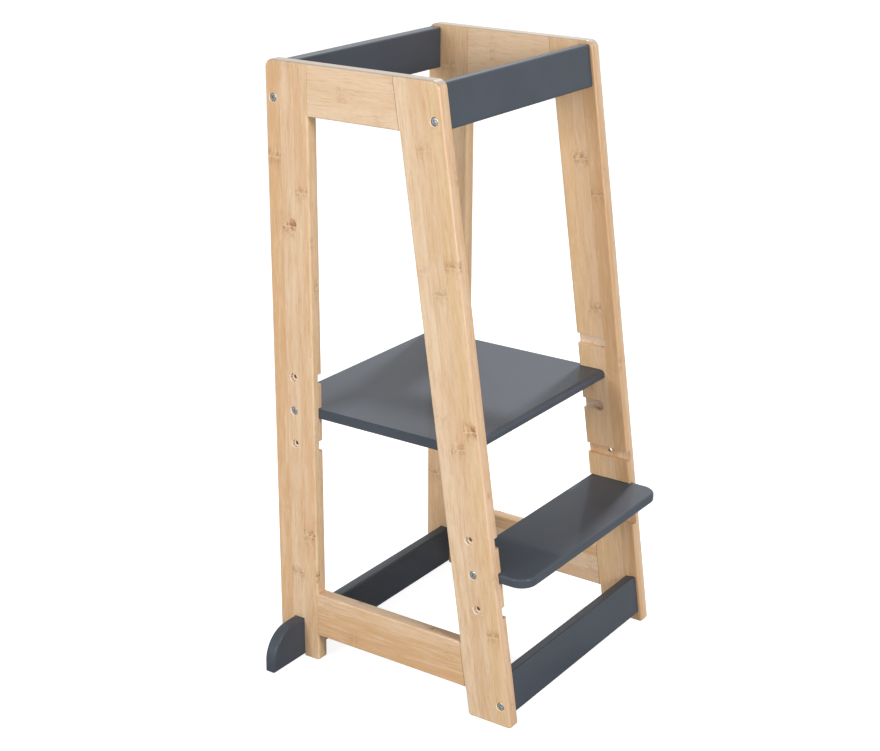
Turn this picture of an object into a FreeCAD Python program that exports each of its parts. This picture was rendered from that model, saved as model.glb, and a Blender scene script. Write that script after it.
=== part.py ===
import FreeCAD, Part
import math
import os

os.makedirs("parts", exist_ok=True)

# Toddler kitchen helper stool. Millimetres, X across the stool, Y from front (-) to rear (+), Z up.
# The origin is on the floor, in the middle of the overall width and depth.

# Side frames
height = 880.0
frame_width = 400.0
frame_board = 20.0
leg_width = 70.0
depth_top = 278.0
depth_base = 405.0
top_rail_height = 70.0
bottom_rail_height = 68.0
bottom_rail_lift = 42.0
frame_corner_radius = 12.0
leg_toe_radius = 4.0
frame_edge_radius = 3.0

# Painted cross rails
rail_board = 18.0
rail_height = 60.0
rail_edge_radius = 3.0
front_rail_inset = 4.5
rear_rail_inset = 3.5
upper_rail_drop = 4.5
lower_front_rail_lift = 15.5
upper_bolt_rise = 14.0
lower_bolt_rise = 17.0

# Stabiliser board: the lower rear cross board, which passes through both rear legs
stabiliser_reach = 70.0
stabiliser_lift = 3.0
stabiliser_corner_radius = 45.0

# Platform and step
panel_board = 15.0
groove_depth = 9.0
height_pitch = 50.0
height_positions = 3
platform_middle_height = 389.0
platform_depth = 321.0
step_middle_height = 218.0
step_projection = 45.0
step_corner_radius = 25.0
step_edge_radius = 4.0

# Fasteners
bolt_shank_radius = 2.95
bolt_head_radius = 5.4
bolt_head_length = 4.6
bolt_head_round = 1.0
bolt_tip_chamfer = 0.8
socket_across_flats = 4.0
socket_sides = 6
socket_depth = 2.6
panel_bolt_length = 20.0
rail_bolt_length = 30.0
stabiliser_bolt_length = 32.0
recess_radius = 6.0
recess_depth = 6.0
insert_radius = 4.5
insert_length = 14.0
dowel_radius = 4.0
rail_dowel_length = 30.0
rail_dowel_in_frame = 12.0
rail_dowel_rise = 44.0
frame_dowel_length = 40.0
frame_dowel_edge = 19.0
dowel_chamfer = 0.8

# Clearances
groove_clearance = 0.2
slot_clearance = 0.2
bolt_hole_clearance = 0.35
thread_clearance = 0.05
dowel_clearance = 0.05
dowel_end_clearance = 0.5
bolt_tip_clearance = 3.0

# Sizes that follow from the ones above
outer_x = frame_width / 2
inner_x = outer_x - frame_board
lean = math.atan2(depth_base - depth_top, height)
step_front_from_rear = (depth_base - step_middle_height * math.tan(lean)) + step_projection
rear_y = step_front_from_rear / 2
groove_floor_x = inner_x + groove_depth
panel_half_width = groove_floor_x - groove_clearance
groove_half_height = panel_board / 2 + groove_clearance
nose_y = rear_y - platform_depth + panel_board / 2
recess_x = outer_x - recess_depth
clear_over = 2.0
tolerance = 0.05
quarter_turn = 90.0
upper_rail_top = height - upper_rail_drop
levels = [(n - (height_positions - 1) / 2) * height_pitch for n in range(height_positions)]


def front_edge_y(z):
    return rear_y - depth_base + z * math.tan(lean)


def back_edge_y(z):
    return front_edge_y(z) + leg_width


def vector(x, y, z):
    return FreeCAD.Vector(x, y, z)


def box(x_low, x_high, y_low, y_high, z_low, z_high):
    corner = vector(x_low, y_low, z_low)
    return Part.makeBox(x_high - x_low, y_high - y_low, z_high - z_low, corner)


def rod(radius, start, end):
    way = end - start
    return Part.makeCylinder(radius, way.Length, start, way)


def side_prism(outline, x_low, x_high):
    points = [vector(x_low, y, z) for y, z in outline]
    points.append(points[0])
    return Part.Face(Part.makePolygon(points)).extrude(vector(x_high - x_low, 0, 0))


def edges_along_x_at(shape, places):
    found = []
    for edge in shape.Edges:
        first = edge.Vertexes[0].Point
        last = edge.Vertexes[-1].Point
        if abs(first.x - last.x) < clear_over:
            continue
        for y, z in places:
            if abs(first.y - y) < tolerance and abs(first.z - z) < tolerance:
                found.append(edge)
    return found


def edges_on_planes(shape, axis, values):
    found = []
    for edge in shape.Edges:
        points = [vertex.Point[axis] for vertex in edge.Vertexes]
        middle = edge.valueAt((edge.FirstParameter + edge.LastParameter) / 2)[axis]
        points.append(middle)
        for value in values:
            if all(abs(point - value) < tolerance for point in points):
                found.append(edge)
    return found


def frame_outline():
    leg_front = rear_y - leg_width
    return [
        (rear_y, 0),
        (rear_y, height),
        (front_edge_y(height), height),
        (front_edge_y(0), 0),
        (back_edge_y(0), 0),
        (back_edge_y(bottom_rail_lift), bottom_rail_lift),
        (leg_front, bottom_rail_lift),
        (leg_front, 0),
    ]


def between_legs(low, high):
    leg_front = rear_y - leg_width
    return [(leg_front, low), (leg_front, high), (back_edge_y(high), high), (back_edge_y(low), low)]


def frame_window():
    return between_legs(bottom_rail_lift + bottom_rail_height, height - top_rail_height)


def rounded_frame():
    blank = side_prism(frame_outline(), inner_x, outer_x)
    tops = [(rear_y, height), (front_edge_y(height), height)]
    blank = blank.makeFillet(frame_corner_radius, edges_along_x_at(blank, tops))
    toes = [(rear_y, 0), (rear_y - leg_width, 0), (back_edge_y(0), 0), (front_edge_y(0), 0)]
    blank = blank.makeFillet(leg_toe_radius, edges_along_x_at(blank, toes))
    blank = blank.cut(side_prism(frame_window(), inner_x - clear_over, outer_x + clear_over))
    return blank.makeFillet(frame_edge_radius, edges_on_planes(blank, 0, [inner_x, outer_x]))


def platform_groove(z):
    low_x = inner_x - clear_over
    low_z = z - groove_half_height
    high_z = z + groove_half_height
    slot = box(low_x, groove_floor_x, nose_y, rear_y + clear_over, low_z, high_z)
    end = rod(groove_half_height, vector(low_x, nose_y, z), vector(groove_floor_x, nose_y, z))
    return slot.fuse(end)


def step_groove(z):
    low_y = front_edge_y(z) - leg_width
    high_y = back_edge_y(z) + leg_width
    low_z = z - groove_half_height
    high_z = z + groove_half_height
    return box(inner_x - clear_over, groove_floor_x, low_y, high_y, low_z, high_z)


def leg_bolt_hole(y, z):
    recess = rod(recess_radius, vector(recess_x, y, z), vector(outer_x + clear_over, y, z))
    hole_radius = bolt_shank_radius + bolt_hole_clearance
    return recess.fuse(rod(hole_radius, vector(inner_x - clear_over, y, z), vector(recess_x, y, z)))


def leg_axis_y(z):
    return (front_edge_y(z) + back_edge_y(z)) / 2


def platform_bolt_place(level):
    return rear_y - leg_width / 2, platform_middle_height + level


def step_bolt_place(level):
    z = step_middle_height + level
    return leg_axis_y(z), z


# A point beside the slanted front edge: rise runs up along the edge, inset runs square into the leg.
def beside_front_edge(rise, inset):
    y = front_edge_y(0) + rise * math.sin(lean) + inset * math.cos(lean)
    z = rise * math.cos(lean) - inset * math.sin(lean)
    return y, z


upper_front_rise = (upper_rail_top + front_rail_inset * math.sin(lean)) / math.cos(lean) - rail_height
front_rail_middle = front_rail_inset + rail_board / 2
rear_rail_middle_y = rear_y - rear_rail_inset - rail_board / 2
upper_rear_low = upper_rail_top - rail_height
stabiliser_y = rear_y - leg_width / 2
stabiliser_top = stabiliser_lift + rail_height
stabiliser_middle_z = stabiliser_lift + rail_height / 2

rail_bolt_places = {
    "upper_rear_rail": (rear_rail_middle_y, upper_rear_low + upper_bolt_rise),
    "upper_front_rail": beside_front_edge(upper_front_rise + upper_bolt_rise, front_rail_middle),
    "lower_front_rail": beside_front_edge(lower_front_rail_lift + lower_bolt_rise, front_rail_middle),
}
rail_dowel_places = {
    "upper_rear_rail": (rear_rail_middle_y, upper_rear_low + rail_dowel_rise),
    "upper_front_rail": beside_front_edge(upper_front_rise + rail_dowel_rise, front_rail_middle),
    "lower_front_rail": beside_front_edge(lower_front_rail_lift + rail_dowel_rise, front_rail_middle),
}


def frame_dowel_places():
    places = []
    sill = bottom_rail_lift
    head = height - top_rail_height
    for low, tall in ((sill, bottom_rail_height), (head, top_rail_height)):
        for z in (low + frame_dowel_edge, low + tall - frame_dowel_edge):
            places.append((rear_y - leg_width, z))
            places.append((back_edge_y(z), z))
    return places


def frame_dowel(y, z, around=0, beyond=0):
    reach = frame_dowel_length / 2 + beyond
    middle_x = (inner_x + outer_x) / 2
    return rod(dowel_radius + around, vector(middle_x, y - reach, z), vector(middle_x, y + reach, z))


def rail_dowel(y, z, around=0, beyond=0):
    start = inner_x + rail_dowel_in_frame + beyond
    end = start - rail_dowel_length - 2 * beyond
    return rod(dowel_radius + around, vector(end, y, z), vector(start, y, z))


def stabiliser_slot():
    low_x = inner_x - clear_over
    high_x = outer_x + clear_over
    half = rail_board / 2 + slot_clearance
    top = stabiliser_top + slot_clearance
    return box(low_x, high_x, stabiliser_y - half, stabiliser_y + half, -clear_over, top)


def stabiliser_bolt_hole():
    x = (inner_x + outer_x) / 2
    z = stabiliser_middle_z
    seat = rear_y - recess_depth
    recess = rod(recess_radius, vector(x, seat, z), vector(x, rear_y + clear_over, z))
    hole_radius = bolt_shank_radius + bolt_hole_clearance
    return recess.fuse(rod(hole_radius, vector(x, stabiliser_y, z), vector(x, seat, z)))


def worked_frame():
    frame = rounded_frame()
    cuts = [stabiliser_slot(), stabiliser_bolt_hole()]
    for level in levels:
        cuts.append(platform_groove(platform_middle_height + level))
        cuts.append(step_groove(step_middle_height + level))
        cuts.append(leg_bolt_hole(*platform_bolt_place(level)))
        cuts.append(leg_bolt_hole(*step_bolt_place(level)))
    for place in rail_bolt_places.values():
        cuts.append(leg_bolt_hole(*place))
    for place in rail_dowel_places.values():
        cuts.append(rail_dowel(*place, dowel_clearance, dowel_end_clearance))
    for place in frame_dowel_places():
        cuts.append(frame_dowel(*place, dowel_clearance, dowel_end_clearance))
    return frame.cut(cuts)


def plank_regions():
    far = clear_over
    leg_front = rear_y - leg_width
    top = height + far
    between = between_legs(height - top_rail_height - far, top)
    below = between_legs(bottom_rail_lift - far, bottom_rail_lift + bottom_rail_height + far)
    rear = [(leg_front, -far), (leg_front, top), (rear_y + far, top), (rear_y + far, -far)]
    front_low = front_edge_y(-far) - far
    front_high = front_edge_y(top) - far
    front = [(front_low, -far), (front_high, top), (back_edge_y(top), top), (back_edge_y(-far), -far)]
    return {"rear_leg": rear, "front_leg": front, "top_side_rail": between, "bottom_side_rail": below}


def rounded_bar(outline, half_length, radius):
    bar = side_prism(outline, -half_length, half_length)
    long_edges = [edge for edge in bar.Edges if abs(edge.Vertexes[0].X - edge.Vertexes[-1].X) > half_length]
    return bar.makeFillet(radius, long_edges)


def bar_outline(corner, rise_way, inset_way):
    y, z = corner
    up = (rise_way[0] * rail_height, rise_way[1] * rail_height)
    across = (inset_way[0] * rail_board, inset_way[1] * rail_board)
    return [
        (y, z),
        (y + up[0], z + up[1]),
        (y + up[0] + across[0], z + up[1] + across[1]),
        (y + across[0], z + across[1]),
    ]


def insert_hole(y, z, end_x):
    wide = rod(insert_radius, vector(end_x - insert_length, y, z), vector(end_x + clear_over, y, z))
    tip_x = recess_x - rail_bolt_length - bolt_tip_clearance
    if end_x > inner_x:
        tip_x = recess_x - panel_bolt_length - bolt_tip_clearance
    hole_radius = bolt_shank_radius + bolt_hole_clearance
    return wide.fuse(rod(hole_radius, vector(tip_x, y, z), vector(end_x, y, z)))


def with_mirror(shape):
    return [shape, mirrored(shape)]


def mirrored(shape):
    return shape.mirror(vector(0, 0, 0), vector(1, 0, 0))


def bolted_rail(name, bar):
    cuts = with_mirror(insert_hole(*rail_bolt_places[name], inner_x))
    cuts += with_mirror(rail_dowel(*rail_dowel_places[name], dowel_clearance, dowel_end_clearance))
    return bar.cut(cuts)


def front_rail(name, rise):
    corner = beside_front_edge(rise, front_rail_inset)
    rise_way = (math.sin(lean), math.cos(lean))
    inset_way = (math.cos(lean), -math.sin(lean))
    outline = bar_outline(corner, rise_way, inset_way)
    return bolted_rail(name, rounded_bar(outline, inner_x, rail_edge_radius))


def upper_rear_rail():
    corner = (rear_rail_middle_y - rail_board / 2, upper_rear_low)
    outline = bar_outline(corner, (0, 1), (1, 0))
    return bolted_rail("upper_rear_rail", rounded_bar(outline, inner_x, rail_edge_radius))


def stabiliser_insert_hole():
    x = (inner_x + outer_x) / 2
    rear = stabiliser_y + rail_board / 2
    z = stabiliser_middle_z
    return rod(insert_radius, vector(x, rear - insert_length, z), vector(x, rear + clear_over, z))


def stabiliser_board():
    reach = outer_x + stabiliser_reach
    half = rail_board / 2
    board = box(-reach, reach, stabiliser_y - half, stabiliser_y + half, stabiliser_lift, stabiliser_top)
    ends = []
    for edge in board.Edges:
        first = edge.Vertexes[0].Point
        last = edge.Vertexes[-1].Point
        if abs(first.z - stabiliser_top) < tolerance and abs(first.y - last.y) > half:
            if abs(last.z - stabiliser_top) < tolerance:
                ends.append(edge)
    board = board.makeFillet(stabiliser_corner_radius, ends)
    rims = edges_on_planes(board, 1, [stabiliser_y - half, stabiliser_y + half])
    board = board.makeFillet(rail_edge_radius, rims)
    return board.cut(with_mirror(stabiliser_insert_hole()))


def platform():
    low = platform_middle_height - panel_board / 2
    high = platform_middle_height + panel_board / 2
    board = box(-panel_half_width, panel_half_width, nose_y, rear_y, low, high)
    nose_start = vector(-panel_half_width, nose_y, platform_middle_height)
    nose_end = vector(panel_half_width, nose_y, platform_middle_height)
    board = board.fuse(rod(panel_board / 2, nose_start, nose_end)).removeSplitter()
    rear_edges = [edge for edge in edges_on_planes(board, 1, [rear_y]) if edge.Length > leg_width]
    board = board.makeFillet(rail_edge_radius, rear_edges)
    hole = insert_hole(*platform_bolt_place(0), panel_half_width)
    return board.cut(with_mirror(hole))


def step():
    low = step_middle_height - panel_board / 2
    front = rear_y - step_front_from_rear
    back = back_edge_y(step_middle_height)
    board = box(-panel_half_width, panel_half_width, front, back, low, low + panel_board)
    corners = []
    for edge in board.Edges:
        first = edge.Vertexes[0].Point
        last = edge.Vertexes[-1].Point
        if abs(first.z - last.z) > clear_over and abs(first.y - front) < tolerance:
            corners.append(edge)
    board = board.makeFillet(step_corner_radius, corners)
    rims = edges_on_planes(board, 2, [low, low + panel_board])
    board = board.makeFillet(step_edge_radius, rims)
    hole = insert_hole(*step_bolt_place(0), panel_half_width)
    return board.cut(with_mirror(hole))


# A bolt along +X with the seat of its head at the origin, pointing inwards along -X.
def bolt(length):
    head = Part.makeCylinder(bolt_head_radius, bolt_head_length, vector(0, 0, 0), vector(1, 0, 0))
    head = head.makeFillet(bolt_head_round, edges_on_planes(head, 0, [bolt_head_length]))
    corner_radius = socket_across_flats / 2 / math.cos(math.pi / socket_sides)
    corners = []
    for n in range(socket_sides + 1):
        turn = n * 2 * math.pi / socket_sides
        y = corner_radius * math.cos(turn)
        z = corner_radius * math.sin(turn)
        corners.append(vector(bolt_head_length, y, z))
    socket = Part.Face(Part.makePolygon(corners)).extrude(vector(-socket_depth, 0, 0))
    shank = rod(bolt_shank_radius, vector(-length, 0, 0), vector(0, 0, 0))
    shank = shank.makeChamfer(bolt_tip_chamfer, edges_on_planes(shank, 0, [-length]))
    return head.cut(socket).fuse(shank)


def placed_bolt(length, y, z):
    shape = bolt(length)
    shape.translate(vector(recess_x, y, z))
    return shape


def sleeve(start, end):
    outside = rod(insert_radius, start, end)
    return outside.cut(rod(bolt_shank_radius + thread_clearance, start, end))


def placed_insert(y, z, end_x):
    return sleeve(vector(end_x - insert_length, y, z), vector(end_x, y, z))


def stabiliser_bolt():
    shape = bolt(stabiliser_bolt_length)
    shape.rotate(vector(0, 0, 0), vector(0, 0, 1), quarter_turn)
    shape.translate(vector((inner_x + outer_x) / 2, rear_y - recess_depth, stabiliser_middle_z))
    return shape


def stabiliser_insert():
    x = (inner_x + outer_x) / 2
    z = stabiliser_middle_z
    rear = stabiliser_y + rail_board / 2
    return sleeve(vector(x, rear - insert_length, z), vector(x, rear, z))


def chamfered(dowel):
    ends = [edge for edge in dowel.Edges if edge.isClosed()]
    return dowel.makeChamfer(dowel_chamfer, ends)


def group(solids):
    return Part.makeCompound(solids)


def build():
    nodes = {}
    frame = worked_frame()
    for plank, region in plank_regions().items():
        prism = side_prism(region, inner_x - clear_over, outer_x + clear_over)
        nodes["right_" + plank] = frame.common(prism)
        nodes["left_" + plank] = mirrored(nodes["right_" + plank])
    nodes["right_frame_dowels"] = group([chamfered(frame_dowel(*place)) for place in frame_dowel_places()])
    nodes["left_frame_dowels"] = mirrored(nodes["right_frame_dowels"])

    nodes["upper_rear_rail"] = upper_rear_rail()
    nodes["upper_front_rail"] = front_rail("upper_front_rail", upper_front_rise)
    nodes["lower_front_rail"] = front_rail("lower_front_rail", lower_front_rail_lift)
    nodes["stabiliser_board"] = stabiliser_board()
    nodes["platform"] = platform()
    nodes["step"] = step()

    for name, place in rail_bolt_places.items():
        nodes[name + "_bolts"] = group(with_mirror(placed_bolt(rail_bolt_length, *place)))
        nodes[name + "_inserts"] = group(with_mirror(placed_insert(*place, inner_x)))
    for name, place in rail_dowel_places.items():
        nodes[name + "_dowels"] = group(with_mirror(chamfered(rail_dowel(*place))))
    nodes["stabiliser_bolts"] = group(with_mirror(stabiliser_bolt()))
    nodes["stabiliser_inserts"] = group(with_mirror(stabiliser_insert()))

    for name, place in (("platform", platform_bolt_place(0)), ("step", step_bolt_place(0))):
        right_bolt = placed_bolt(panel_bolt_length, *place)
        nodes["right_" + name + "_bolt"] = right_bolt
        nodes["left_" + name + "_bolt"] = mirrored(right_bolt)
        nodes[name + "_inserts"] = group(with_mirror(placed_insert(*place, panel_half_width)))
    return nodes


for name, shape in sorted(build().items()):
    shape.exportStep(os.path.join("parts", name + ".step"))
    bound = shape.BoundBox
    size = [round(length, 1) for length in (bound.XLength, bound.YLength, bound.ZLength)]
    print(name, len(shape.Solids), shape.isValid(), round(shape.Volume), size)
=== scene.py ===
import math
import bmesh
import bpy
from mathutils import Matrix, Vector


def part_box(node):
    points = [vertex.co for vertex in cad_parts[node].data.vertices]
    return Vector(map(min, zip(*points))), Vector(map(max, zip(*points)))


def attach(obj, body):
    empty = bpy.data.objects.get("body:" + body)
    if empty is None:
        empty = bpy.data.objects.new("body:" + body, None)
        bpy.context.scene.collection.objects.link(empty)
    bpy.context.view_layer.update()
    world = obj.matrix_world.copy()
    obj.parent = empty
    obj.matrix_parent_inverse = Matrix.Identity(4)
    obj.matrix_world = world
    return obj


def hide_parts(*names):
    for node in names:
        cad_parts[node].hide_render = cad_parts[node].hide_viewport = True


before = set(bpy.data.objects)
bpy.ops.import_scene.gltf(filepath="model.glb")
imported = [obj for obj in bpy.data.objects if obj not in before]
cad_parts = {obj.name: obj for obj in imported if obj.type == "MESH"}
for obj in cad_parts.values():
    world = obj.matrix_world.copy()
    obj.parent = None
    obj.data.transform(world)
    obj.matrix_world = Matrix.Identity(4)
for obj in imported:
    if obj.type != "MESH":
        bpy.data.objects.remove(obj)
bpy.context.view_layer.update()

scene = bpy.context.scene
collection = scene.collection
mm = 0.001
closeness = {
    "same": 0.01 * mm,      # places nearer than this count as one
    "merge": 0.005 * mm,
    "collapse": 0.002 * mm,
    "cut": 0.001 * mm,
}

# The stool's own sizes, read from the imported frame
rearLegLow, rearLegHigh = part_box("right_rear_leg")
height = rearLegHigh.z
legWidth = rearLegHigh.y - rearLegLow.y
innerX, outerX = rearLegLow.x, rearLegHigh.x
rearY = rearLegHigh.y
depths = {"top": 278 * mm, "base": 405 * mm}  # of a side frame
frontFootY = rearY - depths["base"]
lean = math.atan2(depths["base"] - depths["top"], height)
print("stool loaded: height", round(height, 3), "m, lean", round(math.degrees(lean), 2), "degrees")


# The photograph's size and the camera that was fitted to it, in pixels and metres
photo = {"width": 880, "height": 751}
cameraFit = {
    "place": (-1.96019, -1.27536, 1.27701),
    "azimuth": 56.19,    # from +Y towards +X
    "elevation": 21.07,  # looking down
    "roll": 0.53,
    "focalPixels": 1730.1,
    "centre": (454.03, 403.13),
}


def makeCamera():
    azimuth = math.radians(cameraFit["azimuth"])
    elevation = math.radians(cameraFit["elevation"])
    roll = math.radians(cameraFit["roll"])
    level = math.cos(elevation)
    forward = Vector((math.sin(azimuth) * level, math.cos(azimuth) * level, -math.sin(elevation)))
    side = forward.cross(Vector((0, 0, 1))).normalized()
    rise = side.cross(forward)
    right = side * math.cos(roll) + rise * math.sin(roll)
    up = rise * math.cos(roll) - side * math.sin(roll)
    lens = bpy.data.cameras.new("photoCamera")
    lens.sensor_fit = "HORIZONTAL"
    lens.lens = cameraFit["focalPixels"] / photo["width"] * lens.sensor_width
    lens.shift_x = (photo["width"] / 2 - cameraFit["centre"][0]) / photo["width"]
    lens.shift_y = (cameraFit["centre"][1] - photo["height"] / 2) / photo["width"]
    camera = bpy.data.objects.new("photoCamera", lens)
    collection.objects.link(camera)
    turn = Matrix((right, up, -forward)).transposed().to_4x4()
    camera.matrix_world = Matrix.Translation(cameraFit["place"]) @ turn
    scene.camera = camera


makeCamera()
print("camera placed")


# A value in a material: arithmetic on it adds Math nodes
class Value:
    def __init__(self, finish, socket):
        self.finish = finish
        self.socket = socket

    def math(self, operation, *others):
        sockets = dict(enumerate((self,) + others))
        return self.finish.node("ShaderNodeMath", {"operation": operation}, sockets)

    def __add__(self, other):
        return self.math("ADD", other)

    def __radd__(self, other):
        return self.math("ADD", other)

    def __sub__(self, other):
        return self.math("SUBTRACT", other)

    def __mul__(self, other):
        return self.math("MULTIPLY", other)

    def __truediv__(self, other):
        return self.math("DIVIDE", other)


class Finish:
    def __init__(self, owner, shader="Principled BSDF"):
        owner.use_nodes = True
        self.owner = owner
        self.tree = owner.node_tree
        self.shader = self.tree.nodes[shader]

    # One node: settings first, then the values or links of its sockets
    def node(self, kind, settings=None, sockets=None, output=0):
        made = self.tree.nodes.new(kind)
        for setting, value in (settings or {}).items():
            if setting == "stops":
                self.setStops(made.color_ramp, value)
            else:
                setattr(made, setting, value)
        for socket, value in (sockets or {}).items():
            self.feed(made.inputs[socket], value)
        return Value(self, made.outputs[output])

    def feed(self, socket, value):
        if isinstance(value, Value):
            self.tree.links.new(value.socket, socket)
        else:
            socket.default_value = value

    def setStops(self, ramp, stops):
        while len(ramp.elements) < len(stops):
            ramp.elements.new(1)
        for element, (place, colour) in zip(ramp.elements, stops):
            element.position = place
            element.color = colour

    def surface(self, **sockets):
        for socket, value in sockets.items():
            self.feed(self.shader.inputs[socket.replace("_", " ")], value)

    def place(self, turn=(0, 0, 0)):
        coordinates = self.node("ShaderNodeTexCoord", output="Object")
        return self.node("ShaderNodeMapping", {}, {"Vector": coordinates, "Rotation": turn})

    def split(self, vector):
        return [self.node("ShaderNodeSeparateXYZ", {}, {0: vector}, axis) for axis in range(3)]

    def join(self, x, y, z):
        return self.node("ShaderNodeCombineXYZ", {}, {0: x, 1: y, 2: z})

    def noise(self, vector, scale=1, detail=2, roughness=0.5, distortion=0):
        sockets = {"Vector": vector, "Scale": scale, "Detail": detail, "Roughness": roughness}
        sockets["Distortion"] = distortion
        return self.node("ShaderNodeTexNoise", {}, sockets)

    def chance(self, x, y, z):
        return self.node("ShaderNodeTexWhiteNoise", {}, {"Vector": self.join(x, y, z)})

    # 0 below low and 1 above high, or the other way round where low is the greater
    def fade(self, value, low, high):
        sockets = {"Value": value, "From Min": low, "From Max": high}
        return self.node("ShaderNodeMapRange", {"interpolation_type": "SMOOTHSTEP"}, sockets)

    def ramp(self, value, stops):
        return self.node("ShaderNodeValToRGB", {"stops": stops}, {"Fac": value})

    # Sockets 6 and 7 and output 2 are the Mix node's colours
    def blend(self, amount, under, over):
        return self.node("ShaderNodeMix", {"data_type": "RGBA"}, {0: amount, 6: under, 7: over}, 2)

    # Lays a colour over another: none where the value is low, the whole amount where it is high
    def tint(self, under, over, amount, value, low, high):
        return self.blend(self.fade(value, low, high) * amount, under, over)

    def bump(self, height, strength, distance):
        sockets = {"Height": height, "Strength": strength, "Distance": distance}
        return self.node("ShaderNodeBump", {}, sockets)


# A screen colour, 0 to 255, as the linear colour that a socket takes
def tone(red, green, blue):
    linear = []
    for part in (red / 255, green / 255, blue / 255):
        linear.append(part / 12.92 if part <= 0.04045 else ((part + 0.055) / 1.055) ** 2.4)
    return (*linear, 1)


bambooLook = {
    "pale": tone(240, 214, 182),
    "middle": tone(228, 195, 158),
    "warm": tone(219, 174, 126),
    "yellow": tone(231, 200, 156),
    "pink": tone(230, 193, 160),
    "nodeBrown": tone(168, 116, 70),
    "streakBrown": tone(194, 147, 100),
    # painted light: a greyer tone laid on upward faces near the top, standing in for their dimmer lighting
    "topShade": tone(172, 162, 148),
    "topShadeDepth": 10 * mm,
    # painted light and shade: a pale tone for grooves and recesses as if lit, and a dark brown for the shade
    # in the bores
    "recess": tone(250, 236, 216),
    "boreShade": tone(158, 118, 76),
    "roughness": 0.42,
    "coat": 0.3,
    "coatRoughness": 0.2,
    "relief": 0.06 * mm,
    # from here on lengths are in millimetres
    "stripWidth": 23.5,
    "stripUneven": 2.0,
    "layers": 3,
    "nodeSpacing": 235.0,
    "nodeReach": 24,        # how far a node ring's halo goes
    "bandHeight": 13,
    "combLength": 10,
    "ringLine": 1.2,
    "glueLine": 0.5,
    "wander": 15,           # how far the fibres bend beside a strong ring
    # noise scales along the fibre, across it and through the plank, with a shift through it
    "broad": (0.007, 0.09, 0.1, 0),
    "patches": (0.024, 0.15, 0.15, 20),
    "streaks": (0.026, 0.36, 0.36, 0),
    "fine": (0.055, 1.0, 1.0, 0),
    "bundles": (0.1, 1.9, 1.9, 40),
    "mottle": (0.12, 0.17, 0.17, 0),
    "comb": (0.05, 0.7, 0.7, 0),
}


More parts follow.
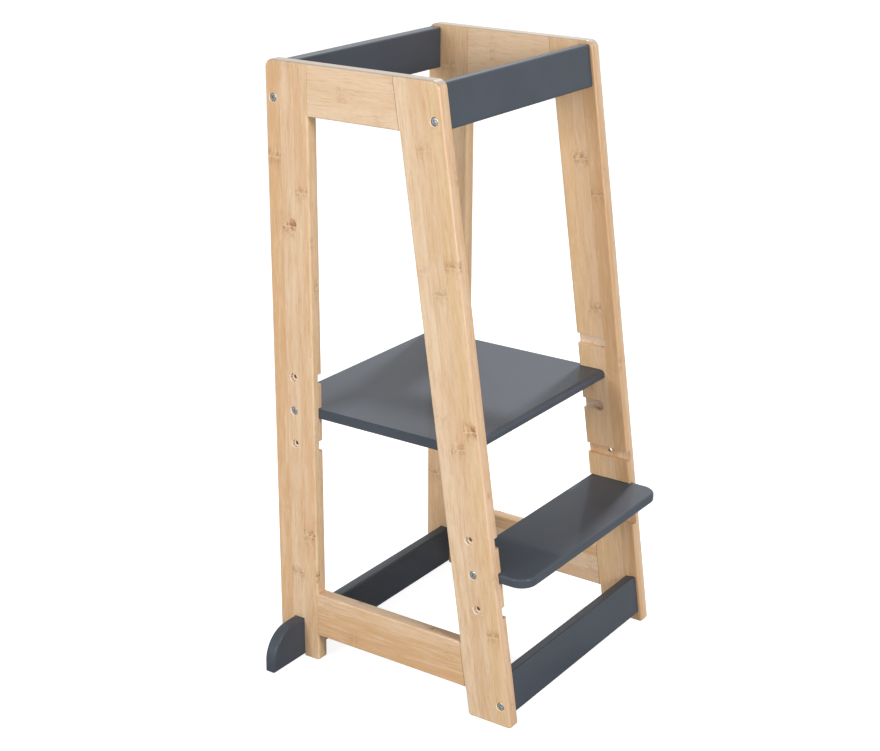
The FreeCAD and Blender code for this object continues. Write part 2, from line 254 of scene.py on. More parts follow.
# Laminated bamboo: strips beside each other in layers, with the rings where the cane had its nodes.
# Along the fibre is "along", across the plank "across" and through its thickness "through".
def bamboo(name, fibre, turn, acrossStart, seed, paler=0, innerShadeTint=0):
    finish = Finish(bpy.data.materials.new(name))
    look = bambooLook
    metre = 1000            # in millimetres
    x, y, z = finish.split(finish.place(turn))
    along, across = (z, y) if fibre == "z" else (y, z)
    along = along * metre
    across = (across - acrossStart) * metre
    through = (x.math("ABSOLUTE") - innerX) * metre
    thickness = (outerX - innerX) * metre
    drift = seed % 89       # shifts the patterns between the finishes

    swell = (across * 0.103 + drift).math("SINE") * look["stripUneven"]
    stripPlace = (across + swell) / look["stripWidth"]
    stripNumber = stripPlace.math("FLOOR")
    inStrip = stripPlace - stripNumber
    strip = stripNumber + x.math("GREATER_THAN", 0) * 31
    slack = 0.01            # keeps both faces of the plank inside the outer layers
    layer = ((through + slack) * (look["layers"] / (thickness + 2 * slack))).math("FLOOR")
    toneChance = finish.chance(strip, layer, seed + 0.5)
    spaceChance = finish.chance(strip, layer, seed + 3.5)

    # place and strength of the nearest node ring of this strip
    cell = along / look["nodeSpacing"] + spaceChance * 9
    cellNumber = cell.math("FLOOR")
    ringChance = finish.chance(strip, cellNumber, layer + seed)
    ringKind = finish.chance(cellNumber, strip + 11, layer + seed)
    fromRing = (cell - cellNumber - 0.3 - ringChance * 0.4) * look["nodeSpacing"]
    strength = ringKind * ringKind * 1.2 + 0.15

    def fibres(kind, side, shift, detail, roughness=0.5):
        alongScale, sideScale, throughScale, throughShift = look[kind]
        depth = through * throughScale + throughShift
        place = finish.join(along * alongScale + shift, side * sideScale, depth)
        return finish.noise(place, 1, detail, roughness)

    # fibres run straight, and wander near a strong ring
    nearRing = finish.fade(fromRing.math("ABSOLUTE"), look["nodeReach"], 2)
    wander = finish.noise(finish.join(along * 0.05, across * 0.1, through * 0.1 + strip * 5.3), 1, 2) - 0.5
    bent = across + wander * (nearRing * ringKind * look["wander"] + 2.5)
    own = strip * 7.7 + drift
    broad = fibres("broad", bent, own, 2)
    patches = fibres("patches", bent, own, 3, 0.6)
    streaks = fibres("streaks", bent, own, 3, 0.6)
    fine = fibres("fine", bent, own, 3, 0.65)
    bundles = fibres("bundles", bent, 0, 1)

    colour = finish.ramp(toneChance, [
        (0, look["pale"]), (0.22, look["middle"]), (0.42, look["pink"]), (0.62, look["yellow"]),
        (0.82, look["warm"]), (1, look["pale"]),
    ])
    grain = finish.fade(fine, 0.48, 0.78)
    dashes = finish.fade(bundles, 0.62, 0.74)
    colour = finish.blend(0.12, colour, look["middle"])
    colour = finish.tint(colour, look["warm"], 0.6, broad, 0.45, 0.75)
    colour = finish.tint(colour, look["pale"], 0.5, broad, 0.5, 0.25)
    colour = finish.tint(colour, look["warm"], 0.5, patches, 0.5, 0.72)
    colour = finish.tint(colour, look["pale"], 0.4, patches, 0.48, 0.26)
    colour = finish.blend(paler, colour, look["pale"])
    # painted shade: the inner faces are tinted warmer, standing in for warm bounce light in their shade
    colour = finish.tint(colour, look["warm"], innerShadeTint, through, thickness / 2, thickness / 5)
    colour = finish.tint(colour, look["streakBrown"], 0.42, streaks, 0.5, 0.76)
    colour = finish.tint(colour, look["pale"], 0.45, streaks, 0.46, 0.24)
    colour = finish.blend(grain * 0.44, colour, look["streakBrown"])
    colour = finish.blend(dashes * 0.32, colour, look["streakBrown"])

    # the ring: a pale line, a mottled brown band above it and short dark fibre ends below it
    mottle = fibres("mottle", bent, 0, 3, 0.65)
    halo = nearRing * finish.fade(mottle, 0.36, 0.7) * (ringKind * 1.3 + 0.2)
    band = finish.fade(fromRing, look["bandHeight"], 2) * finish.fade(fromRing, -0.8, 1.6)
    band = band * finish.fade(mottle, 0.36, 0.64)
    comb = finish.fade(fromRing, -look["combLength"], -1) * finish.fade(fromRing, 0.6, -0.8)
    comb = comb * finish.fade(fibres("comb", across, 0, 1), 0.46, 0.62)
    ringDark = (halo * 0.38 + band * 0.46 + comb * 0.42) * strength
    colour = finish.blend(ringDark, colour, look["nodeBrown"])
    ringLine = finish.fade((fromRing + wander * 5).math("ABSOLUTE"), look["ringLine"], look["ringLine"] / 4)
    colour = finish.blend(ringLine * (strength * 0.45), colour, look["pale"])

    # painted light and shade: the upward faces near the top of the frames are greyed for their dimmer, greyer
    # lighting; grooves and recesses are painted pale as if lit, and the bores painted dark as shade
    upward = finish.split(finish.node("ShaderNodeTexCoord", output="Normal"))[2]
    shadeDepth = look["topShadeDepth"]
    high = finish.fade(finish.split(finish.place())[2], height - shadeDepth, height - shadeDepth / 2)
    colour = finish.tint(colour, look["topShade"], high * 0.8, upward, 0.2, 0.8)
    # painted light in grooves and recesses, painted shade in the bores
    bored = finish.node("ShaderNodeAttribute", {"attribute_name": "bored"}, output="Fac")
    colour = finish.tint(colour, look["recess"], 0.8, bored, 0, 0.5)
    colour = finish.tint(colour, look["boreShade"], 1, bored, 0.5, 1)

    # a thin glue line between strips
    gluePlace = (inStrip - 0.5).math("ABSOLUTE") * look["stripWidth"]
    glue = finish.fade(gluePlace, look["stripWidth"] / 2 - look["glueLine"], look["stripWidth"] / 2)
    colour = finish.blend(glue * 0.26, colour, look["streakBrown"])

    roughness = look["roughness"] + grain * 0.1 + ringDark * 0.12
    relief = fine * 0.4 - dashes * 0.3 - ringDark * 0.5 - glue * 0.6
    finish.surface(Base_Color=colour, Roughness=roughness, Normal=finish.bump(relief, 0.35, look["relief"]),
                   Coat_Weight=look["coat"], Coat_Roughness=look["coatRoughness"])
    return finish.owner


paintLook = {
    "base": tone(64, 71, 81),
    "lighter": tone(70, 78, 88),
    "roughness": 0.46,
    "specular": 0.3,
    "coat": 0.2,
    "coatRoughness": 0.08,
    "relief": 0.05 * mm,
    "cloudScale": 14,
    "peelScale": 520,
    "speckScale": 1500,
}


# Sprayed satin paint on wood
def paint(name):
    finish = Finish(bpy.data.materials.new(name))
    look = paintLook
    place = finish.place()
    cloud = finish.noise(place, look["cloudScale"], 3, 0.6)
    peel = finish.noise(place, look["peelScale"], 1, 0.5)
    specks = finish.fade(finish.noise(place, look["speckScale"], 0), 0.7, 0.8)
    colour = finish.tint(look["base"], look["lighter"], 0.6, cloud, 0.35, 0.7)
    colour = finish.blend(specks * 0.15, colour, look["lighter"])
    roughness = look["roughness"] + cloud * 0.08 + specks * 0.08
    finish.surface(Base_Color=colour, Roughness=roughness, Normal=finish.bump(peel, 0.25, look["relief"]),
                   Specular_IOR_Level=look["specular"], Coat_Weight=look["coat"],
                   Coat_Roughness=look["coatRoughness"])
    return finish.owner


zincLook = {
    "bright": tone(214, 216, 217),
    "relief": 0.02 * mm,
    "cloudScale": 260,
    "scratchScale": 1800,
}


# Zinc plate on steel
def zinc(name, base, roughness):
    finish = Finish(bpy.data.materials.new(name))
    look = zincLook
    place = finish.place()
    cloud = finish.noise(place, look["cloudScale"], 3, 0.6)
    scratches = finish.noise(place, look["scratchScale"], 1, 0.5, 1.5)
    colour = finish.tint(base, look["bright"], 0.5, cloud, 0.3, 0.75)
    finish.surface(Base_Color=colour, Metallic=1.0, Roughness=roughness + cloud * 0.12 + scratches * 0.06,
                   Normal=finish.bump(scratches, 0.2, look["relief"]))
    return finish.owner


beechLook = {
    "pale": tone(220, 188, 148),
    "dark": tone(196, 156, 112),
    "fleck": tone(160, 116, 78),
    "roughness": 0.55,
    "relief": 0.05 * mm,
    # noise scales, level and upright: the dowels lie level, and the grain runs along them
    "grainScales": (90, 1400),
    "fleckScales": (300, 2400),
}


# Turned beech
def beech(name):
    finish = Finish(bpy.data.materials.new(name))
    look = beechLook
    x, y, z = finish.split(finish.place())

    def fibres(scales, detail, roughness=0.5):
        level, upright = scales
        return finish.noise(finish.join(x * level, y * level, z * upright), 1, detail, roughness)

    grain = fibres(look["grainScales"], 3, 0.6)
    colour = finish.ramp(grain, [(0.3, look["pale"]), (0.7, look["dark"])])
    colour = finish.tint(colour, look["fleck"], 0.4, fibres(look["fleckScales"], 1), 0.6, 0.72)
    finish.surface(Base_Color=colour, Roughness=look["roughness"] + grain * 0.2,
                   Normal=finish.bump(grain, 0.3, look["relief"]))
    return finish.owner


unturned = (0, 0, 0)
slantedStart = frontFootY * math.cos(lean)
railLift, sill = (corner.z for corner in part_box("right_bottom_side_rail"))
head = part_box("right_top_side_rail")[0].z

# The seeds choose where the rings lie
finishes = {
    "bambooUpright": bamboo("bambooUpright", "z", unturned, rearLegLow.y, 9520, innerShadeTint=0.25),
    "bambooSlanted": bamboo("bambooSlanted", "z", (lean, 0, 0), slantedStart, 24962, innerShadeTint=0.35),
    "bambooHigh": bamboo("bambooHigh", "y", unturned, head, 3, paler=0.5),
    "bambooLow": bamboo("bambooLow", "y", unturned, railLift, 5),
    "paint": paint("satinPaint"),
    "boltSteel": zinc("boltSteel", tone(172, 174, 175), 0.24),
    "insertSteel": zinc("insertSteel", tone(190, 186, 172), 0.3),
    "dowelWood": beech("dowelWood"),
}
print("materials made:", len(finishes))


def addObject(name, shape):
    mesh = bpy.data.meshes.new(name)
    shape.to_mesh(mesh)
    shape.free()
    made = bpy.data.objects.new(name, mesh)
    collection.objects.link(made)
    return made


# Sweeps the flat faces of a shape into a closed one
def swept(shape, sweep):
    grown = bmesh.ops.extrude_face_region(shape, geom=list(shape.faces))["geom"]
    ends = [part for part in grown if isinstance(part, bmesh.types.BMVert)]
    bmesh.ops.translate(shape, verts=ends, vec=sweep)
    bmesh.ops.recalc_face_normals(shape, faces=shape.faces)
    return shape


def closedShape(points, sweep):
    shape = bmesh.new()
    shape.faces.new([shape.verts.new(point) for point in points])
    return swept(shape, sweep)


def roundEdges(shape, edges, radius, segments):
    bmesh.ops.bevel(shape, geom=edges, offset=radius, offset_type="OFFSET", segments=segments, profile=0.5,
                    affect="EDGES", material=-1, loop_slide=True, clamp_overlap=True)


# Rounds each corner line that runs along an axis through one of the places to its true radius
def roundCorners(shape, axis, places, radius, segments):
    others = [n for n in range(3) if n != axis]
    for place in places:
        for edge in edgesAlong(shape, axis):
            offsets = [abs(vert.co[n] - value) for vert in edge.verts for n, value in zip(others, place)]
            if max(offsets) < closeness["same"]:
                roundEdges(shape, [edge], radius * math.tan(edge.calc_face_angle() / 2), segments)
                break


def edgesAlong(shape, axis):
    found = []
    for edge in shape.edges:
        span = edge.verts[1].co - edge.verts[0].co
        if abs(span[axis]) > 0.999 * span.length:
            found.append(edge)
    return found


def sharpEdges(shape, onIt=lambda place: True):
    leastTurn = math.radians(30)
    found = []
    for edge in shape.edges:
        if edge.calc_face_angle(0) > leastTurn and all(onIt(vert.co) for vert in edge.verts):
            found.append(edge)
    return found


# The sharp edges round both ends of a shape whose middle is at 0 on the axis
def endEdges(shape, axis):
    reach = max(abs(vert.co[axis]) for vert in shape.verts)
    return sharpEdges(shape, lambda place: abs(abs(place[axis]) - reach) < closeness["same"])


# A closed turned shape: the profile holds (distance along, radius) points
def turned(profile, segments):
    shape = bmesh.new()
    verts = [shape.verts.new((distance, radius, 0)) for distance, radius in profile]
    edges = [shape.edges.new(pair) for pair in zip(verts, verts[1:])]
    bmesh.ops.spin(shape, geom=verts + edges, cent=(0, 0, 0), axis=(1, 0, 0), dvec=(0, 0, 0),
                   angle=math.tau, steps=segments, use_merge=True)
    bmesh.ops.remove_doubles(shape, verts=shape.verts, dist=closeness["same"])
    bmesh.ops.recalc_face_normals(shape, faces=shape.faces)
    return shape


def moved(shape, place, turn=Matrix()):
    bmesh.ops.transform(shape, matrix=Matrix.Translation(place) @ turn, verts=shape.verts)
    return shape


# Cuts the tools out of a shape, or joins them to it, and gives the result as a new shape
def carve(shape, tools, operation="DIFFERENCE"):
    blank = addObject("blank", shape)
    cutters = [addObject("cutter", tool) for tool in tools]
    for cutter in cutters:
        cut = blank.modifiers.new("cut", "BOOLEAN")
        cut.operation = operation
        cut.solver = "EXACT"
        cut.object = cutter
    graph = bpy.context.evaluated_depsgraph_get()
    mesh = bpy.data.meshes.new_from_object(blank.evaluated_get(graph))
    result = bmesh.new()
    result.from_mesh(mesh)
    for spent in [blank] + cutters:
        bpy.data.meshes.remove(spent.data)
    bpy.data.meshes.remove(mesh)
    bmesh.ops.remove_doubles(result, verts=result.verts, dist=closeness["merge"])
    return result


# Turns a finished shape into a piece of the stool
def makePiece(name, shape, finish, node, body="stool"):
    bmesh.ops.dissolve_degenerate(shape, edges=shape.edges, dist=closeness["collapse"])
    piece = addObject(name, shape)
    sharpAngle = math.radians(32)
    piece.data.materials.append(finishes[finish])
    piece.data.shade_smooth()
    piece.data.set_sharp_from_angle(angle=sharpAngle)
    shading = piece.modifiers.new("evenShading", "WEIGHTED_NORMAL")
    shading.keep_sharp = True
    shading.weight = 80
    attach(piece, body)
    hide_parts(node)


sideFrame = {
    "cornerRadius": 12 * mm,
    "cornerSegments": 8,
    "toeRadius": 4 * mm,
    "toeSegments": 4,
    "edgeRadius": 3 * mm,
    "edgeSegments": 5,
    "frontSeam": 0.7 * mm,  # between a side rail and the front leg
    "rearSeam": 0.25 * mm,  # between a side rail and the rear leg
    "mouth": 0.5 * mm,      # chamfer at the mouth of a groove or hole
    "grooveDepth": 9 * mm,
    "boardClearance": 0.2 * mm,
    "heightStep": 50 * mm,
    "recessRadius": 6 * mm,
    "recessDepth": 6 * mm,
    "holeRadius": 3.3 * mm,
    "holeSegments": 32,
    "rearHoleLength": 20 * mm,
}
legFront = rearLegLow.y
platformLow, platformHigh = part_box("platform")
stepLow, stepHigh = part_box("step")
stabiliserLow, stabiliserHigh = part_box("stabiliser_board")
platformZ = (platformLow.z + platformHigh.z) / 2
stepZ = (stepLow.z + stepHigh.z) / 2
grooveHalf = (platformHigh.z - platformLow.z) / 2 + sideFrame["boardClearance"]
settingRises = [level * sideFrame["heightStep"] for level in (-1, 0, 1)]


def frontEdge(z):
    return frontFootY + z * math.tan(lean)


def backEdge(z):
    return frontEdge(z) + legWidth


def middleOf(node):
    low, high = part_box(node)
    return (low + high) / 2


quarterTurn = Matrix.Rotation(math.pi / 2, 4, "Z")


def frameBlank():
    middle = (platformHigh.z + head) / 2
    upper = [
        (rearY, middle), (rearY, height), (frontEdge(height), height), (frontEdge(middle), middle),
        (backEdge(middle), middle), (backEdge(head), head), (legFront, head), (legFront, middle),
    ]
    lower = [
        (frontEdge(middle), middle), (frontEdge(0), 0), (backEdge(0), 0), (backEdge(railLift), railLift),
        (legFront, railLift), (legFront, 0), (rearY, 0), (rearY, middle), (legFront, middle),
        (legFront, sill), (backEdge(sill), sill), (backEdge(middle), middle),
    ]
    shape = bmesh.new()
    for outline in (upper, lower):
        shape.faces.new([shape.verts.new((innerX, y, z)) for y, z in outline])
    bmesh.ops.remove_doubles(shape, verts=shape.verts, dist=closeness["same"])
    swept(shape, (outerX - innerX, 0, 0))
    tops = [(rearY, height), (frontEdge(height), height)]
    toes = [(rearY, 0), (legFront, 0), (backEdge(0), 0), (frontEdge(0), 0)]
    roundCorners(shape, 0, tops, sideFrame["cornerRadius"], sideFrame["cornerSegments"])
    roundCorners(shape, 0, toes, sideFrame["toeRadius"], sideFrame["toeSegments"])
    through = edgesAlong(shape, 0)
    rims = [edge for edge in sharpEdges(shape) if edge not in through]
    roundEdges(shape, rims, sideFrame["edgeRadius"], sideFrame["edgeSegments"])
    return shape


# Half the outline of a groove from its floor to past its mouth: (x, height above the middle)
def grooveProfile():
    floor = innerX + sideFrame["grooveDepth"]
    mouth = sideFrame["mouth"]
    return [(floor, grooveHalf), (innerX + mouth, grooveHalf), (innerX - mouth, grooveHalf + 2 * mouth)]


# A groove runs along Y and opens towards the middle of the stool, with a small chamfer at its mouth
def grooveTool(z, low, high):
    upper = grooveProfile()
    lower = [(x, -rise) for x, rise in reversed(upper)]
    return closedShape([(x, low, z + rise) for x, rise in upper + lower], (0, high - low, 0))


def grooveEndTool(y, z):
    upper = grooveProfile()
    profile = [(upper[0][0], 0)] + upper + [(upper[-1][0], 0)]
    return moved(turned(profile, sideFrame["holeSegments"]), (0, y, z))


# A recessed hole that runs inwards from the place on the surface, against the turned X axis
def boltHoleTool(place, length, turn=Matrix()):
    mouth = sideFrame["mouth"]
    seat = -sideFrame["recessDepth"]
    wide, narrow = sideFrame["recessRadius"], sideFrame["holeRadius"]
    profile = [(mouth, 0), (mouth, wide + 2 * mouth), (-mouth, wide), (seat, wide), (seat, narrow),
               (-length, narrow), (-length, 0)]
    return moved(turned(profile, sideFrame["holeSegments"]), place, turn)


# Where the bolt holes of a side frame are: (y, z)
def boltHoles():
    holes = []
    for rise in settingRises:
        z = stepZ + rise
        holes.append((middleOf("right_platform_bolt").y, platformZ + rise))
        holes.append(((frontEdge(z) + backEdge(z)) / 2, z))
    for rail in ("upper_rear_rail", "upper_front_rail", "lower_front_rail"):
        place = middleOf(rail + "_bolts")
        holes.append((place.y, place.z))
    return holes


def frameTools():
    noseY = platformLow.y + (platformHigh.z - platformLow.z) / 2
    over = 5 * mm           # how far the tools reach past the wood
    tools = []
    for rise in settingRises:
        tools.append(grooveTool(platformZ + rise, noseY, rearY + over))
        tools.append(grooveEndTool(noseY, platformZ + rise))
        z = stepZ + rise
        tools.append(grooveTool(z, frontEdge(z) - over, backEdge(z) + over))
    depth = outerX - innerX + 1 * mm    # right through the wood
    for y, z in boltHoles():
        tools.append(boltHoleTool((outerX, y, z), depth))
    clearance = sideFrame["boardClearance"]
    slotY = (stabiliserLow.y - clearance, stabiliserHigh.y + clearance)
    slotX = (innerX - over, outerX + over)
    slot = [(slotX[0], slotY[0], -over), (slotX[1], slotY[0], -over), (slotX[1], slotY[1], -over),
            (slotX[0], slotY[1], -over)]
    tools.append(closedShape(slot, (0, 0, stabiliserHigh.z + clearance + over)))
    stabiliserHole = ((innerX + outerX) / 2, rearY, middleOf("stabiliser_bolts").z)
    tools.append(boltHoleTool(stabiliserHole, sideFrame["rearHoleLength"], quarterTurn))
    return tools


# Marks the cut faces for painted light and shade in the wood's colour: 0.25 in a groove for the platform and
# 0.5 in the recess of a bolt hole, both painted pale as if lit, and 1 in its bore, painted dark as shade
def markCutShading(shape):
    mark = shape.faces.layers.float.new("bored")
    holes = boltHoles()
    slack = 0.1 * mm
    recess = sideFrame["recessRadius"] + 2 * sideFrame["mouth"] + slack
    bore = sideFrame["holeRadius"] + slack
    low = innerX + slack
    high = innerX + sideFrame["grooveDepth"] + slack
    for face in shape.faces:
        places = [vert.co for vert in face.verts]
        for y, z in holes:
            reach = max(math.hypot(place.y - y, place.z - z) for place in places)
            if reach < recess:
                face[mark] = 1 if reach < bore else 0.5
        for rise in settingRises:
            middle = platformZ + rise
            if all(low < place.x < high and abs(place.z - middle) < grooveHalf + slack for place in places):
                face[mark] = 0.25


def fillHoles(shape):
    bmesh.ops.holes_fill(shape, edges=[edge for edge in shape.edges if edge.is_boundary], sides=0)


# Keeps the side of a cutting plane that the normal points away from, and closes the cut
def sawn(shape, place, normal):
    normal = Vector(normal).normalized()
    place = Vector(place)
    geometry = list(shape.verts) + list(shape.edges) + list(shape.faces)
    bmesh.ops.bisect_plane(shape, geom=geometry, dist=closeness["cut"], plane_co=place, plane_no=normal,
                           clear_outer=True)

    def onCut(vert):
        return abs((vert.co - place).dot(normal)) < closeness["same"]

    stray = []
    for face in shape.faces:
        if all(onCut(vert) for vert in face.verts) and face.normal.dot(normal) < 0:
            stray.append(face)
    bmesh.ops.delete(shape, geom=stray, context="FACES")
    fillHoles(shape)
    loose = [vert for vert in shape.verts if not vert.link_faces]
    bmesh.ops.delete(shape, geom=loose, context="VERTS")
    bmesh.ops.recalc_face_normals(shape, faces=shape.faces)


# Saws a side frame into its legs and side rails
def planks(frameShape):
    backNormal = Vector((0, math.cos(lean), -math.sin(lean)))
    backPlace = Vector((innerX, backEdge(0), 0))
    level = (head + sill) / 2
    rear = frameShape.copy()
    sawn(rear, (innerX, legFront, 0), (0, -1, 0))
    front = frameShape.copy()
    sawn(front, backPlace, backNormal)
    rails = []
    for upwards in (1, -1):
        rail = frameShape.copy()
        sawn(rail, (innerX, 0, level), (0, 0, -upwards))
        sawn(rail, (innerX, legFront - sideFrame["rearSeam"], 0), (0, 1, 0))
        sawn(rail, backPlace + backNormal * sideFrame["frontSeam"], -backNormal)
        rails.append(rail)
    return {"rear_leg": rear, "front_leg": front, "top_side_rail": rails[0], "bottom_side_rail": rails[1]}


def mirrored(shape):
    other = shape.copy()
    bmesh.ops.scale(other, vec=(-1, 1, 1), verts=other.verts)
    bmesh.ops.reverse_faces(other, faces=other.faces)
    return other


woods = {"rear_leg": "bambooUpright", "front_leg": "bambooSlanted", "top_side_rail": "bambooHigh",
         "bottom_side_rail": "bambooLow"}
sideShape = carve(frameBlank(), frameTools())
markCutShading(sideShape)
for part, plank in planks(sideShape).items():
    words = part.title().replace("_", "")
    makePiece("left" + words, mirrored(plank), woods[part], "left_" + part)
    makePiece("right" + words, plank, woods[part], "right_" + part)
print("side frames made, windows from", round(sill, 3), "to", round(head, 3), "m")


crossRails = {
    "thickness": 18 * mm,
    "height": 60 * mm,
    "edgeRadius": 3 * mm,
    "edgeSegments": 6,
    "endChamfer": 0.3 * mm,
}


def block(size):
    shape = bmesh.new()
    bmesh.ops.create_cube(shape, size=1)
    bmesh.ops.scale(shape, vec=size, verts=shape.verts)
    return shape


def crossRail(name, node, turn):
    shape = block((2 * innerX, crossRails["thickness"], crossRails["height"]))
    roundEdges(shape, edgesAlong(shape, 0), crossRails["edgeRadius"], crossRails["edgeSegments"])
    roundEdges(shape, endEdges(shape, 0), crossRails["endChamfer"], 1)
    moved(shape, middleOf(node), Matrix.Rotation(turn, 4, "X"))
    makePiece(name, shape, "paint", node)


crossRail("upperRearRail", "upper_rear_rail", 0)
crossRail("upperFrontRail", "upper_front_rail", -lean)
crossRail("lowerFrontRail", "lower_front_rail", -lean)
print("cross rails made")


stabiliser = {
    "cornerRadius": 45 * mm,
    "cornerSegments": 28,
    "edgeRadius": 3 * mm,
    "edgeSegments": 5,
}


def stabiliserBoard():
    low, high = stabiliserLow, stabiliserHigh
    shape = moved(block(high - low), (low + high) / 2)
    tops = [(low.x, high.z), (high.x, high.z)]
    roundCorners(shape, 1, tops, stabiliser["cornerRadius"], stabiliser["cornerSegments"])
    through = edgesAlong(shape, 1)
    rims = [edge for edge in sharpEdges(shape) if edge not in through]
    roundEdges(shape, rims, stabiliser["edgeRadius"], stabiliser["edgeSegments"])
    makePiece("stabiliserBoard", shape, "paint", "stabiliser_board")


stabiliserBoard()
print("stabiliser board made")


boards = {
    "noseSegments": 9,
    "platformRearRadius": 3 * mm,
    "platformRearSegments": 5,
    "platformSideRadius": 1 * mm,
    "platformSideSegments": 2,
    "stepCornerRadius": 25 * mm,
    "stepCornerSegments": 16,
    "stepEdgeRadius": 4 * mm,
    "stepEdgeSegments": 6,
}


def platformBoard():
    low, high = platformLow, platformHigh
    shape = moved(block(high - low), (low + high) / 2)
    flat = 0.02 * mm        # left between the two rounds of the nose
    nose = (high.z - low.z) / 2 - flat
    front, rear = [], []
    for edge in edgesAlong(shape, 0):
        (front if abs(edge.verts[0].co.y - low.y) < closeness["same"] else rear).append(edge)
    roundEdges(shape, front, nose, boards["noseSegments"])
    roundEdges(shape, rear, boards["platformRearRadius"], boards["platformRearSegments"])
    roundEdges(shape, endEdges(shape, 0), boards["platformSideRadius"], boards["platformSideSegments"])
    makePiece("platformBoard", shape, "paint", "platform")


def stepBoard():
    low, high = stepLow, stepHigh
    shape = moved(block(high - low), (low + high) / 2)
    fronts = [(low.x, low.y), (high.x, low.y)]
    roundCorners(shape, 2, fronts, boards["stepCornerRadius"], boards["stepCornerSegments"])
    through = edgesAlong(shape, 2)
    rims = [edge for edge in sharpEdges(shape) if edge not in through]
    roundEdges(shape, rims, boards["stepEdgeRadius"], boards["stepEdgeSegments"])
    makePiece("stepBoard", shape, "paint", "step")


platformBoard()
stepBoard()
print("platform and step made")


# Low-head bolts: the shank lies along X from its tip up to the seat at 0, the head beyond it
bolts = {
    "shankRadius": 2.95 * mm,
    "coreRadius": 2.55 * mm,
    "pitch": 1.0 * mm,
    "rootHalf": 0.42,       # half the width of the thread at its root, in pitches
    "crestHalf": 0.06,      # and at its crest
    "runOut": 1.2 * mm,     # from the tip, and from the plain part, to the thread
    "tipChamfer": 0.6 * mm,
    "plainLength": 4 * mm,
    "neck": 0.5 * mm,
    "headRadius": 5.4 * mm,
    "headLength": 4.6 * mm,
    "headRound": 1.4 * mm,
    "headChamfer": 0.3 * mm,
    "socketWidth": 4 * mm,
    "socketDepth": 2.6 * mm,
    "drillDepth": 0.8 * mm,
    "socketChamfer": 0.5 * mm,
    "turnSegments": 48,
    "roundSegments": 5,
    "toolSegments": 24,
    "panelLength": 20 * mm,
    "railLength": 30 * mm,
    "stabiliserLength": 32 * mm,
}


def boltProfile(length):
    core, shank, plain = bolts["coreRadius"], bolts["shankRadius"], -bolts["plainLength"]
    wide, top, soft = bolts["headRadius"], bolts["headLength"], bolts["headRound"]
    tip, chamfer = bolts["tipChamfer"], bolts["headChamfer"]
    profile = [(-length, 0), (-length, core - tip), (-length + tip, core), (plain - bolts["neck"], core),
               (plain, shank), (0, shank), (0, wide - chamfer), (chamfer, wide)]
    for step in range(bolts["roundSegments"] + 1):
        angle = math.radians(90 * step / bolts["roundSegments"])
        profile.append((top - soft + soft * math.sin(angle), wide - soft + soft * math.cos(angle)))
    return profile + [(top, 0)]


# The hexagon, the cone that a drill leaves at its bottom and the chamfer round its mouth
def socketTools():
    top = bolts["headLength"]
    bottom = top - bolts["socketDepth"]
    reach = bolts["socketWidth"] / math.sqrt(3)
    chamfer = bolts["socketChamfer"]
    over = 1 * mm
    corners = [math.radians(60 * number) for number in range(6)]
    hexagon = [(top + over, reach * math.cos(corner), reach * math.sin(corner)) for corner in corners]
    coneTop = bottom + 0.1 * mm
    cone = [(bottom - bolts["drillDepth"], 0), (coneTop, reach * 0.8), (coneTop, 0)]
    mouthTop = top + 0.2 * mm
    mouth = [(top - chamfer, 0), (mouthTop, reach + chamfer), (mouthTop, 0)]
    sweep = (-bolts["socketDepth"] - over, 0, 0)
    segments = bolts["toolSegments"]
    return [closedShape(hexagon, sweep), turned(cone, segments), turned(mouth, segments)]


def boltThread(length):
    shank, pitch, steps = bolts["shankRadius"], bolts["pitch"], bolts["toolSegments"]
    rootHalf, crestHalf = bolts["rootHalf"], bolts["crestHalf"]
    root = bolts["coreRadius"] - 0.1 * mm
    section = [(-rootHalf, root), (-crestHalf, shank), (crestHalf, shank), (rootHalf, root)]
    start = -length + bolts["runOut"]
    turns = int((-bolts["plainLength"] - bolts["runOut"] - start) / pitch)
    thread = bmesh.new()
    face = thread.faces.new([thread.verts.new((start + rise * pitch, radius, 0)) for rise, radius in section])
    bmesh.ops.spin(thread, geom=[face] + list(face.edges) + list(face.verts), cent=(0, 0, 0), axis=(1, 0, 0),
                   dvec=(pitch / steps, 0, 0), angle=math.tau * turns, steps=steps * turns)
    fillHoles(thread)
    bmesh.ops.recalc_face_normals(thread, faces=thread.faces)
    return thread


def boltShape(length):
    body = carve(turned(boltProfile(length), bolts["turnSegments"]), socketTools())
    return carve(body, [boltThread(length)], "UNION")


# Adds a shape's mirror image to it
def bothSides(shape):
    mesh = bpy.data.meshes.new("spare")
    mirrored(shape).to_mesh(mesh)
    shape.from_mesh(mesh)
    bpy.data.meshes.remove(mesh)
    return shape


seatX = outerX - sideFrame["recessDepth"]
panelBolt = boltShape(bolts["panelLength"])
for board in ("platform", "step"):
    node = board + "_bolt"
    place = middleOf("right_" + node)
    rightBolt = moved(panelBolt.copy(), (seatX, place.y, place.z))
    makePiece("left" + board.title() + "Bolt", mirrored(rightBolt), "boltSteel",
              "left_" + node, "left_" + node)
    makePiece("right" + board.title() + "Bolt", rightBolt, "boltSteel",
              "right_" + node, "right_" + node)
panelBolt.free()
railBolt = boltShape(bolts["railLength"])
for rail, name in (("upper_rear_rail", "upperRearRail"), ("upper_front_rail", "upperFrontRail"),
                   ("lower_front_rail", "lowerFrontRail")):
    place = middleOf(rail + "_bolts")
    pair = bothSides(moved(railBolt.copy(), (seatX, place.y, place.z)))
    makePiece(name + "Bolts", pair, "boltSteel", rail + "_bolts")
railBolt.free()
rearPlace = ((innerX + outerX) / 2, rearY - sideFrame["recessDepth"], middleOf("stabiliser_bolts").z)
pair = bothSides(moved(boltShape(bolts["stabiliserLength"]), rearPlace, quarterTurn))
makePiece("stabiliserBolts", pair, "boltSteel", "stabiliser_bolts")
print("bolts made")


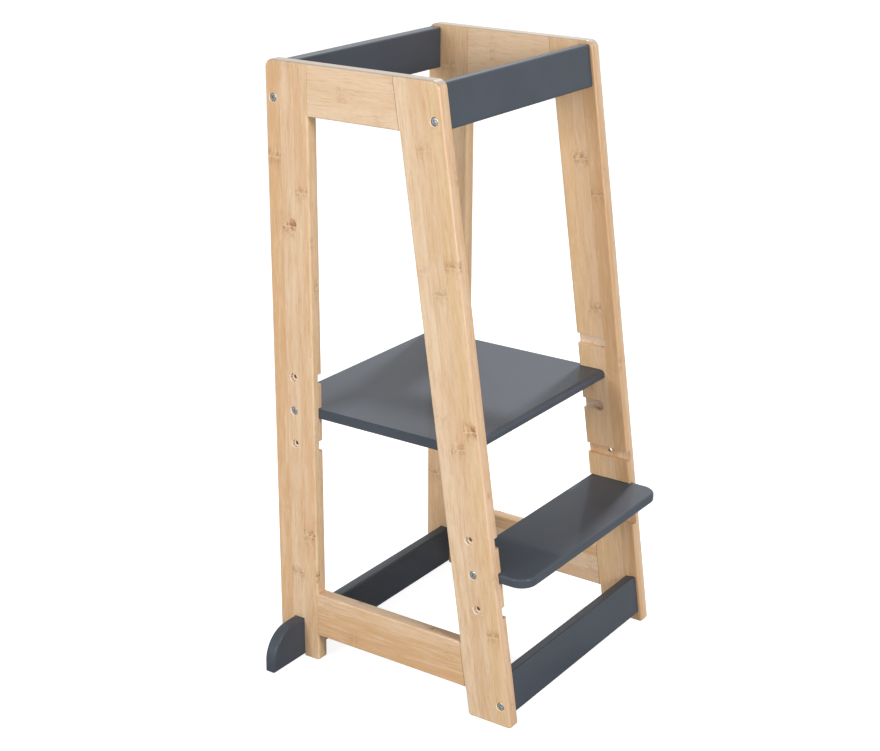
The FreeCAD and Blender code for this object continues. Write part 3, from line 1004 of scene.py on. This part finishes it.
# The inserts and dowels inside the wood keep their CAD shape
hidden = {"dowels": "dowelWood", "inserts": "insertSteel"}
for node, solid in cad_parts.items():
    kind = node.split("_")[-1]
    if kind in hidden:
        for number in range(len(solid.data.materials)):
            solid.data.materials[number] = finishes[hidden[kind]]
print("inserts and dowels dressed")


studio = {
    "ambient": 0.29,
    "leftLight": {"place": (-3.08, 0.54, 1.12), "size": 0.7, "power": 39},
    "nearLight": {"place": (-2.76, -1.29, 1.44), "size": 0.7, "power": 8},
    "frontLight": {"place": (-0.77, -2.87, 1.65), "size": 0.7, "power": 53},
    "rightLight": {"place": (1.6, 0.5, 3.05), "size": 0.2, "power": 58},
    "aim": (0, 0, 0.45),
    "floorReach": 12,
    "floorTone": 0.5,
    "floorRoughness": 0.8,
    "floorGlow": 0.85,
}


def softLight(name, setting):
    light = bpy.data.lights.new(name, "AREA")
    light.shape = "SQUARE"
    light.size = setting["size"]
    light.energy = setting["power"]
    lamp = bpy.data.objects.new(name, light)
    collection.objects.link(lamp)
    place = Vector(setting["place"])
    turn = (place - Vector(studio["aim"])).to_track_quat("Z", "Y").to_matrix().to_4x4()
    lamp.matrix_world = Matrix.Translation(place) @ turn


for lightName in ("leftLight", "nearLight", "frontLight", "rightLight"):
    softLight(lightName, studio[lightName])


# The camera, mirrors and glass see a white room; everything else gets the softer ambient light
def makeWorld():
    scene.world = bpy.data.worlds.new("studio")
    sky = Finish(scene.world, "Background")
    bright = sky.node("ShaderNodeLightPath", output="Is Camera Ray")
    for ray in ("Is Glossy Ray", "Is Transmission Ray"):
        bright = bright.math("MAXIMUM", sky.node("ShaderNodeLightPath", output=ray))
    strength = bright * (1 - studio["ambient"]) + studio["ambient"]
    sky.surface(Color=(1, 1, 1, 1), Strength=strength)


def makeFloor():
    shape = bmesh.new()
    bmesh.ops.create_grid(shape, x_segments=1, y_segments=1, size=studio["floorReach"])
    floor = addObject("floor", shape)
    finish = Finish(bpy.data.materials.new("floor"))
    seen = finish.node("ShaderNodeLightPath", output="Is Camera Ray")
    glow = finish.blend(seen, (0, 0, 0, 1), (1, 1, 1, 1))
    grey = studio["floorTone"]
    finish.surface(Base_Color=(grey, grey, grey, 1), Roughness=studio["floorRoughness"],
                   Emission_Color=glow, Emission_Strength=studio["floorGlow"])
    floor.data.materials.append(finish.owner)


makeWorld()
makeFloor()
scene.view_settings.view_transform = "Standard"
print("studio lit")
